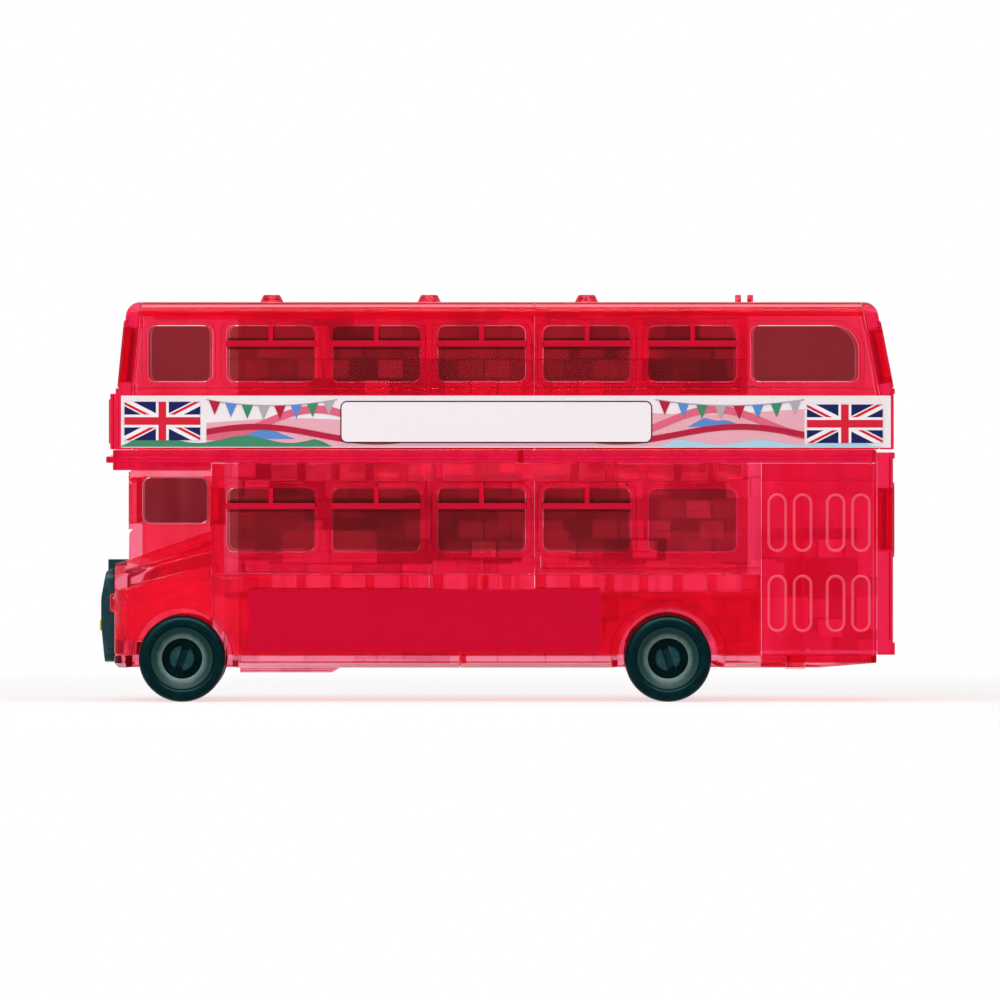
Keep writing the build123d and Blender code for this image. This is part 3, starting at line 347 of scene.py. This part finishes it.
def finish_of(mesh, face, node, count):
    """The number of a face's finish: 0 skin, 1 edge, 2 tooth, bar, chamfer or leaf outline, 3 pocket; the pale
    ones are painted highlights.
    """
    x, y, z = face.center / MM
    lowest = min(mesh.vertices[corner].co.z for corner in face.vertices) / MM
    # a line along the roof's rim, on faces tilted up by this much, takes the paler edge finish: a painted
    # highlight
    if z > ROOF_RIM and abs(y) > ROOF_SIDE and RIM_TILT[0] < face.normal.z < RIM_TILT[1]:
        return 1
    if count > 2 and "mid_floor" in node:
        return 2 if lowest < TOOTH_HEAD and x > WING_END else face.material_index
    if count > 2 and "floor" in node:
        return 2 if abs(y) > TOOTH_ROOT and x > WING_END else face.material_index
    # the chassis's downward chamfers take the pale finish, a painted highlight
    if count > 2 and "chassis" in node:
        return 2 if abs(y) > TOOTH_ROOT and face.normal.z < CHAMFER_TILT else face.material_index
    # the door's raised leaf outlines take the paler finish, a painted highlight
    if node == "platform_door" and LEAF_RING[0] < abs(y) < LEAF_RING[1]:
        return 2
    at_bar = any(BAR_SPAN[0] < z - bar[0] < BAR_SPAN[1] for bar in BARS)
    if count > 2 and BAR_FACE[0] < abs(y) < BAR_FACE[1] and at_bar:
        return 2
    if count > 3 and POCKET[0] < abs(y) < POCKET[1] and POCKET_ROW[0] < z < POCKET_ROW[1]:
        return 3
    # the paler edge finish, a painted highlight, stays only on the outer faces
    outer = abs(y) > SKIN or z > ROOF_RIM or x < WING_END
    return face.material_index if outer else 0


def moulded(node, *finishes, rounding=EDGE_ROUND):
    """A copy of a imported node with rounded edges, in its place: finishes for its skin, edges and details."""
    piece = bpy.data.objects.new(f"{node}_moulded", frame["nodes"][node].data.copy())
    bpy.context.collection.objects.link(piece)
    only(piece)
    folds = []
    for attempt in range(ATTEMPTS):
        piece.data = frame["nodes"][node].data.copy()
        bpy.ops.object.mode_set(mode="EDIT")
        bpy.ops.mesh.select_all(action="SELECT")
        bpy.ops.mesh.remove_doubles(threshold=MERGE * MM)
        bpy.ops.mesh.dissolve_limited(angle_limit=FLAT)
        select_outer_edges(piece, rounding, folds)
        bpy.ops.mesh.bevel(offset=rounding * MM, segments=2, affect="EDGES", clamp_overlap=False, material=1)
        bpy.ops.mesh.select_mode(type="VERT")
        bpy.ops.object.mode_set(mode="OBJECT")
        found = folded_spots(piece.data)
        if not found:
            break
        folds += found
    piece.data.materials.clear()
    for finish in finishes:
        piece.data.materials.append(finish)
    bpy.ops.object.shade_smooth_by_angle(angle=SHARP)
    flat = piece.modifiers.new("flat faces", "WEIGHTED_NORMAL")
    flat.keep_sharp = True
    bpy.ops.object.modifier_apply(modifier=flat.name)
    for face in piece.data.polygons:
        face.material_index = finish_of(piece.data, face, node, len(finishes))
    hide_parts(node)
    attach(piece, "body")


ENDS = ("upper_front", "upper_tail", "tail_wall")
NOSE = ("cab", "bonnet", "wing_near", "wing_far")
# The paler edge, outline, rim and chamfer finishes passed below are painted highlights
for node, slot in slots.items():
    if "core" in node:
        moulded(node, red_blocks, red_blocks)
    elif "mid_floor" in node:
        moulded(node, red_plate, red_edge_painted_highlight, red_teeth)
    elif "floor" in node:
        moulded(node, clear_red, red_edge_painted_highlight, red_teeth)
    elif "chassis" in node:
        moulded(node, red_well, red_edge_painted_highlight, red_sill_painted_highlight)
    elif node in ENDS:
        moulded(node, red_tail, red_edge_painted_highlight)
    elif node in NOSE:
        moulded(node, red_wing if node == "wing_far" else red_nose, red_painted_highlight_strong, rounding=NOSE_ROUND)
    elif node == "platform_door":
        moulded(node, red_end, red_outline_painted_highlight, red_outline_painted_highlight)
    elif node == "locking_pin":
        moulded(node, red_pin, red_pin)
    elif node.startswith("lower_far"):
        moulded(node, red_far, red_edge_painted_highlight, red_bar, red_teeth)
    elif node.startswith("lower_near"):
        moulded(node, clear_red, red_edge_painted_highlight, red_bar, red_teeth)
    elif node.startswith(("upper_near", "upper_far")):
        moulded(node, clear_red, red_painted_highlight_strong, red_bar)
    elif slot == red:
        moulded(node, clear_red, red_edge_painted_highlight)
moulded("grille", grille_green, grille_green)
for node in ("axle_front", "axle_rear"):
    moulded(node, grille_green, grille_green)
for node in slots:
    if node.startswith("glazing"):
        frame["nodes"][node].data.materials[0] = end_panes if node == "glazing_ends" else side_panes
    elif node.startswith("print"):
        frame["nodes"][node].data.materials[0] = white_film if "band" in node else label_film


# Wheels: one turned profile, (radius, out from the inner face)

WHEEL_PROFILE = [
    (1.65, -0.4), (2.8, -0.4), (2.8, 0.0), (6.5, 0.0), (6.84, 0.09), (7.04, 0.3), (7.1, 0.62), (7.1, 4.7),
    (7.05, 5.08), (6.92, 5.42), (6.7, 5.7), (6.4, 5.88), (6.0, 5.97), (5.6, 5.95), (5.34, 5.86), (5.2, 5.74),
    (5.12, 5.74), (5.04, 5.86), (4.9, 5.84), (4.4, 5.56), (3.9, 5.28), (3.5, 5.08), (3.36, 4.98), (3.3, 4.84),
    (3.3, 2.6), (1.65, 2.6), (1.65, -0.4)]
DISH = (3.32, 5.0)       # inner and outer radius of the dish with painted light
DISH_DEPTH = 4.5         # the dish lies further out than this
SPIN_STEPS = 96
SPIN_MERGE = 0.002       # the spin's first and last points meet within this
WHEEL_SHARP = radians(40)


def out_from_axle(spot, end):
    """Distance of a spot from an axle, in millimetres."""
    return sqrt((spot.x / MM - AXLES[end]) ** 2 + (spot.z / MM - AXLE_HEIGHT) ** 2)


def turned_wheel(end, side):
    """Trace the wheel's profile point by point, then spin it round the axle."""
    node = f"wheel_{end}_{side}"
    out = -1 if side == "near" else 1
    spots = [(AXLES[end] * MM, out * (WHEEL_INNER + across) * MM, (AXLE_HEIGHT + radius) * MM)
             for radius, across in WHEEL_PROFILE]
    bpy.ops.object.select_all(action="DESELECT")
    bpy.ops.mesh.primitive_plane_add(size=MM)
    wheel = bpy.context.object
    wheel.name = f"{node}_turned"
    bpy.ops.object.mode_set(mode="EDIT")
    bpy.ops.mesh.merge(type="CENTER")
    bpy.ops.transform.translate(value=spots[0])
    for start, end_spot in zip(spots, spots[1:]):
        step = [b - a for a, b in zip(start, end_spot)]
        bpy.ops.mesh.extrude_region_move(TRANSFORM_OT_translate={"value": step})
    bpy.ops.mesh.select_all(action="SELECT")
    bpy.ops.mesh.spin(steps=SPIN_STEPS, angle=tau, axis=(0, 1, 0),
                      center=(AXLES[end] * MM, 0, AXLE_HEIGHT * MM))
    bpy.ops.mesh.select_all(action="SELECT")
    bpy.ops.mesh.remove_doubles(threshold=SPIN_MERGE * MM)
    bpy.ops.mesh.normals_make_consistent(inside=False)
    bpy.ops.object.mode_set(mode="OBJECT")
    wheel.data.materials.append(tyre_green)
    wheel.data.materials.append(dish_green)
    radii = wheel.data.attributes.new("out_from_axle", "FLOAT", "POINT")
    for vertex in wheel.data.vertices:
        radii.data[vertex.index].value = out_from_axle(vertex.co, end)
    for face in wheel.data.polygons:
        radius = out_from_axle(face.center, end)
        outer = out * face.center.y / MM > WHEEL_INNER + DISH_DEPTH
        face.material_index = int(outer and DISH[0] < radius < DISH[1])
    bpy.ops.object.shade_smooth_by_angle(angle=WHEEL_SHARP)
    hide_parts(node)
    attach(wheel, node)


for end in AXLES:
    for side in ("near", "far"):
        turned_wheel(end, side)


# Prints: flat ink shapes on the film, (along, up) in millimetres as their viewer sees them

CORNER_STEPS = 6         # in a round corner
WAVE_STEP = 0.5          # between the points of a wavy line


def ink_shapes(name, outlines, layer, ink, side):
    """Ink of one colour on one side's film."""
    bpy.ops.object.select_all(action="DESELECT")
    curve = bpy.data.curves.new(name, "CURVE")
    curve.dimensions = "2D"
    curve.fill_mode = "BOTH"
    curve.extrude = INK / 2 * MM
    for outline in outlines:
        spline = curve.splines.new("POLY")
        spline.points.add(len(outline) - 1)
        for point, (along, up) in zip(spline.points, outline):
            point.co = (along * MM, up * MM, 0, 1)
        spline.use_cyclic_u = True
    shape = bpy.data.objects.new(name, curve)
    bpy.context.collection.objects.link(shape)
    shape.location.y = (-1 if side == "near" else 1) * (FILM_FACE + layer * INK) * MM
    shape.rotation_euler = (pi / 2, 0, 0 if side == "near" else pi)
    only(shape)
    bpy.ops.object.convert(target="MESH")
    bpy.ops.object.transform_apply(location=True, rotation=True, scale=True)
    shape.data.materials.clear()
    shape.data.materials.append(inks[ink])
    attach(shape, "body")


def rectangle(along, up, width, height):
    """Corners of an upright rectangle about its middle."""
    return [(along - width / 2, up - height / 2), (along + width / 2, up - height / 2),
            (along + width / 2, up + height / 2), (along - width / 2, up + height / 2)]


def rounded(along, up, width, height, corner):
    """An upright rectangle about its middle, with round corners."""
    points = []
    for quarter, (side, level) in enumerate(((1, 1), (-1, 1), (-1, -1), (1, -1))):
        for step in range(CORNER_STEPS + 1):
            turn = pi / 2 * (quarter + step / CORNER_STEPS)
            points.append((along + side * (width / 2 - corner) + corner * cos(turn),
                           up + level * (height / 2 - corner) + corner * sin(turn)))
    return points


def cross(along, up, width, height, arm):
    """A cross whose arms reach the edges of a rectangle."""
    x, z, a = width / 2, height / 2, arm / 2
    corners = [(-x, -a), (-a, -a), (-a, -z), (a, -z), (a, -a), (x, -a),
               (x, a), (a, a), (a, z), (-a, z), (-a, a), (-x, a)]
    return [(along + u, up + v) for u, v in corners]


def strip(start, end, low, high):
    """The area between two lines along the film, each a formula of the place along it."""
    count = int((end - start) / WAVE_STEP)
    along = [start + (end - start) * step / count for step in range(count + 1)]
    return [(u, high(u)) for u in along] + [(u, low(u)) for u in reversed(along)]


FLAG = (12.4, 6.3)       # width and height
FLAGS = ((-54.8, 45.95), (56.8, 45.5))  # middles of the flags
BAND_FOOT, BAND_HEAD = 41.75, 49.95
BAND_ENDS = (-47.6, 50.2)  # the design runs between the flags
BOARD = (-0.2, 45.8, 51.0, 6.9)  # white board's middle, width and height
BOARD_CORNER = 1.1
BOARD_LINE = 0.2
BOARD_GAP = 0.5          # from the board to the bunting
STRING_HIGH = BAND_HEAD - 0.5
STRING_SAG = 1.0
STRING_HALF = 0.1        # half the string's thickness
TAPER = 3.0              # length over which a hill or pond rises
PENNANT = (1.9, 2.3)     # width and drop
PENNANTS = 8             # on one string


def flag(middle, side):
    """A union flag: blue ground, two white and two red diagonals, a red cross edged in white."""
    along, up = middle
    width, height = FLAG
    x, z = width / 2, height / 2
    broad, narrow = height / 10 * sqrt(5), height / 15 * sqrt(5)
    falling = [(-x, z), (broad - x, z), (x, broad / 2 - z), (x, -z), (x - broad, -z), (-x, z - broad / 2)]
    rising = [(u, -v) for u, v in falling]
    low_red = [(-x, z), (0, 0), (-narrow, 0), (-x, z - narrow / 2)]
    high_red = [(x, z), (0, 0), (0, narrow / 2), (x - narrow, z)]
    reds = [low_red, high_red]
    reds += [[(-u, -v) for u, v in arm] for arm in reds]
    name = f"flag_{'nose' if along * (1 if side == 'near' else -1) < 0 else 'tail'}_{side}"
    ink_shapes(f"{name}_ground", [rectangle(along, up, width, height)], 6, "navy", side)
    arms = [[(along + u, up + v) for u, v in arm] for arm in (falling, rising)]
    ink_shapes(f"{name}_white", arms, 7, "white", side)
    arms = [[(along + u, up + v) for u, v in arm] for arm in reds]
    ink_shapes(f"{name}_red", arms, 8, "red", side)
    ink_shapes(f"{name}_edging", [cross(along, up, width, height, height / 3)], 9, "white", side)
    ink_shapes(f"{name}_cross", [cross(along, up, width, height, height / 5)], 10, "red", side)


def bunting(start, end, count):
    """A hanging string and the pennants on it, as outlines."""
    def sag(u):
        return STRING_HIGH - STRING_SAG * (1 - ((2 * u - start - end) / (end - start)) ** 2)
    string = strip(start, end, lambda u: sag(u) - STRING_HALF, lambda u: sag(u) + STRING_HALF)
    width, drop = PENNANT
    pennants = []
    for place in range(count):
        u = start + (end - start) * (place + 0.5) / count
        left, right = u - width / 2, u + width / 2
        pennants.append([(left, sag(left)), (u, sag(u) - drop), (right, sag(right))])
    return string, pennants


def band_print(side, facing):
    """Rolling hills, waves and bunting on each side of a bare white board, with a flag at each end."""
    def run(first, last, low, high):
        return strip(*sorted((facing * first, facing * last)), low, high)

    def foot(u):
        return BAND_FOOT

    def tapered(first, last, low, rise):
        return run(first, last, lambda u: low, lambda u: low + rise(u) * min(
            1, (facing * u - first) / TAPER, (last - facing * u) / TAPER))

    start, end = BAND_ENDS
    swell = run(start, end, foot, lambda u: 45.9 + 0.5 * sin(u / 7) + (1.6 if facing * u > 0 else 0))
    ink_shapes(f"band_swell_{side}", [swell], 1, "pink", side)
    pond = tapered(-45.0, -33.0, 43.0, lambda u: 1.5 + 0.4 * sin(u / 1.7))
    far_pond = tapered(31.0, 40.0, 45.0, lambda u: 1.3 + 0.3 * sin(u))
    ink_shapes(f"band_pond_{side}", [pond, far_pond], 2, "blue", side)
    rose = run(start, end, lambda u: 45.0 + 2.2 * sin(u / 5.2 + 1), lambda u: 46.3 + 2.2 * sin(u / 5.2 + 1))
    ink_shapes(f"band_rose_{side}", [rose], 3, "rose", side)
    hills = tapered(-62.0, -27.0, BAND_FOOT, lambda u: 1.2 + 0.6 * sin(u / 2.4))
    ink_shapes(f"band_hills_{side}", [hills], 4, "green", side)
    shallows = tapered(26.0, 63.0, BAND_FOOT, lambda u: 0.7 + 0.4 * sin(u / 2.1))
    ink_shapes(f"band_shallows_{side}", [shallows], 4, "sky", side)
    crimson = run(start, end, lambda u: 43.3 + 1.2 * cos(u / 6.3), lambda u: 44.3 + 1.2 * cos(u / 6.3))
    ink_shapes(f"band_crimson_{side}", [crimson], 5, "crimson", side)
    along, up, width, height = BOARD
    before, after = along - width / 2 - BOARD_GAP, along + width / 2 + BOARD_GAP
    strings = []
    rows = {"crimson": [], "blue": [], "green": [], "grey": []}
    for first, last in ((start, before), (after, end)):
        string, pennants = bunting(*sorted((facing * first, facing * last)), PENNANTS)
        strings.append(string)
        for place, pennant in enumerate(pennants):
            rows[tuple(rows)[place % len(rows)]].append(pennant)
    ink_shapes(f"band_string_{side}", strings, 5.5, "grey", side)
    for ink, pennants in rows.items():
        ink_shapes(f"band_pennants_{ink}_{side}", pennants, 6, ink, side)
    board = rounded(facing * along, up, width, height, BOARD_CORNER)
    ink_shapes(f"band_board_{side}", [board], 7, "white", side)
    inner = rounded(facing * along, up, width - 2 * BOARD_LINE, height - 2 * BOARD_LINE,
                    BOARD_CORNER - BOARD_LINE)
    ink_shapes(f"band_board_line_{side}", [board, inner], 8, "black", side)
    for along, up in FLAGS:
        flag((facing * along, up), side)


for side, facing in (("near", 1), ("far", -1)):
    band_print(side, facing)

# Bare yellow plate on the grille

PLATE = (0.3, 8.0, 1.7)  # thickness, width and height
PLATE_OUT = 0.1          # its middle, ahead of the grille
PLATE_HEIGHT = 12.4
PLATE_ROUND = 0.12
low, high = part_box("grille")
bpy.ops.object.select_all(action="DESELECT")
bpy.ops.mesh.primitive_cube_add(
    size=1, location=(low.x - PLATE_OUT * MM, (low.y + high.y) / 2, PLATE_HEIGHT * MM))
plate = bpy.context.object
plate.name = "grille_plate"
plate.scale = [size * MM for size in PLATE]
bpy.ops.object.transform_apply(location=True, rotation=True, scale=True)
rounding = plate.modifiers.new("rounded edges", "BEVEL")
rounding.width = PLATE_ROUND * MM
rounding.segments = 2
bpy.ops.object.modifier_apply(modifier=rounding.name)
plate.data.materials.append(plate_yellow)
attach(plate, "body")


# Stage: a pale floor, a white surround and soft studio lamps

FLOOR_SIZE = 8.0         # metres
FLOOR_GLOW = 0.65        # share of plain white where the floor is seen
FLOOR_FADE = (0.12, 0.3)  # metres from the bus's middle, between which the floor fades into the surround
AMBIENT = 0.42           # surround's light on the bus, where 1 is white


def seen_directly(tree):
    """1 for rays from the camera, off glossy skins and through clear plastic, 0 for the light on the bus."""
    ray = add_node(tree, "ShaderNodeLightPath", {}, {})
    seen = ray.outputs["Is Camera Ray"]
    for kind in ("Is Glossy Ray", "Is Transmission Ray"):
        either = add_node(tree, "ShaderNodeMath", {"operation": "MAXIMUM"}, {0: seen, 1: ray.outputs[kind]})
        seen = either.outputs[0]
    return seen


bpy.ops.object.select_all(action="DESELECT")
bpy.ops.mesh.primitive_plane_add(size=FLOOR_SIZE)
floor = bpy.context.object
floor.name = "floor"
floor_paper, tree = new_tree("white_paper")
share = add_node(tree, "ShaderNodeMath", {"operation": "MULTIPLY"}, {0: seen_directly(tree), 1: FLOOR_GLOW})
paper = add_node(tree, "ShaderNodeBsdfDiffuse", {}, {"Color": (0.9, 0.9, 0.9, 1)})
glow = add_node(tree, "ShaderNodeEmission", {}, {"Color": (1, 1, 1, 1), "Strength": 1.0})
surface = add_node(tree, "ShaderNodeMixShader", {},
                   {0: share.outputs[0], 1: paper.outputs["BSDF"], 2: glow.outputs["Emission"]})
place = add_node(tree, "ShaderNodeTexCoord", {}, {}).outputs["Object"]
out_from_bus = add_node(tree, "ShaderNodeVectorMath", {"operation": "LENGTH"}, {0: place})
fade = add_node(tree, "ShaderNodeMapRange", {}, {
    "Value": out_from_bus.outputs["Value"], "From Min": FLOOR_FADE[0], "From Max": FLOOR_FADE[1]})
beyond = add_node(tree, "ShaderNodeBsdfTransparent", {}, {})
surface = add_node(tree, "ShaderNodeMixShader", {},
                   {0: fade.outputs["Result"], 1: surface.outputs["Shader"], 2: beyond.outputs["BSDF"]})
add_node(tree, "ShaderNodeOutputMaterial", {}, {"Surface": surface.outputs["Shader"]})
floor.data.materials.append(floor_paper)

scene = bpy.context.scene
scene.world = bpy.data.worlds.new("white surround")
scene.world.use_nodes = True
tree = scene.world.node_tree
tree.nodes.clear()
level = add_node(tree, "ShaderNodeMapRange", {},
                 {"Value": seen_directly(tree), "To Min": AMBIENT, "To Max": 1.0})
sky = add_node(tree, "ShaderNodeBackground", {}, {"Color": (1, 1, 1, 1), "Strength": level.outputs["Result"]})
add_node(tree, "ShaderNodeOutputWorld", {}, {"Surface": sky.outputs["Background"]})


def softbox(name, place, aim, size, power, gloss_only=False):
    """A rectangular softbox that points at a place on the bus, and may show only in its glossy skins."""
    bpy.ops.object.light_add(type="AREA", location=place)
    lamp = bpy.context.object
    lamp.name = name
    lamp.data.shape = "RECTANGLE"
    lamp.data.size, lamp.data.size_y = size
    lamp.data.energy = power
    towards = lamp.location - Vector(aim)
    lamp.rotation_euler = towards.to_track_quat("Z", "Y").to_euler()
    lamp.visible_diffuse = not gloss_only
    lamp.visible_transmission = not gloss_only


BUS_MIDDLE = (0, 0, 0.03)
softbox("overhead softbox", (0.0, -0.2, 0.55), BUS_MIDDLE, (0.7, 0.3), 2.2)
softbox("gloss strip", (0.0, -0.3, 0.5), BUS_MIDDLE, (0.7, 0.3), 9.0, gloss_only=True)
softbox("front softbox", (-0.55, -0.9, 0.55), BUS_MIDDLE, (0.5, 0.5), 4.5)

# Camera: a long lens at roof height, square to the side

FRAME_WIDTH = 163.52     # millimetres across the picture at the near wall
FRAME_ALONG = 0.41       # the picture's middle, along the bus
FRAME_MIDDLE = 33.03     # and above the floor
LENS = 800.0
SENSOR = 36.0
NEAR_WALL = -19.7
EYE = 60.0               # height of the lens
AWAY = FRAME_WIDTH * LENS / SENSOR
bpy.ops.object.camera_add(location=(FRAME_ALONG * MM, (NEAR_WALL - AWAY) * MM, EYE * MM),
                          rotation=(pi / 2 - atan((EYE - FRAME_MIDDLE) / AWAY), 0, 0))
camera = bpy.context.object
camera.data.lens = LENS
camera.data.sensor_width = SENSOR
scene.camera = camera

scene.view_settings.view_transform = "Standard"
BOUNCES = 32             # enough for a ray to pass every clear wall
scene.cycles.max_bounces = BOUNCES
scene.cycles.transmission_bounces = BOUNCES
scene.cycles.transparent_max_bounces = BOUNCES
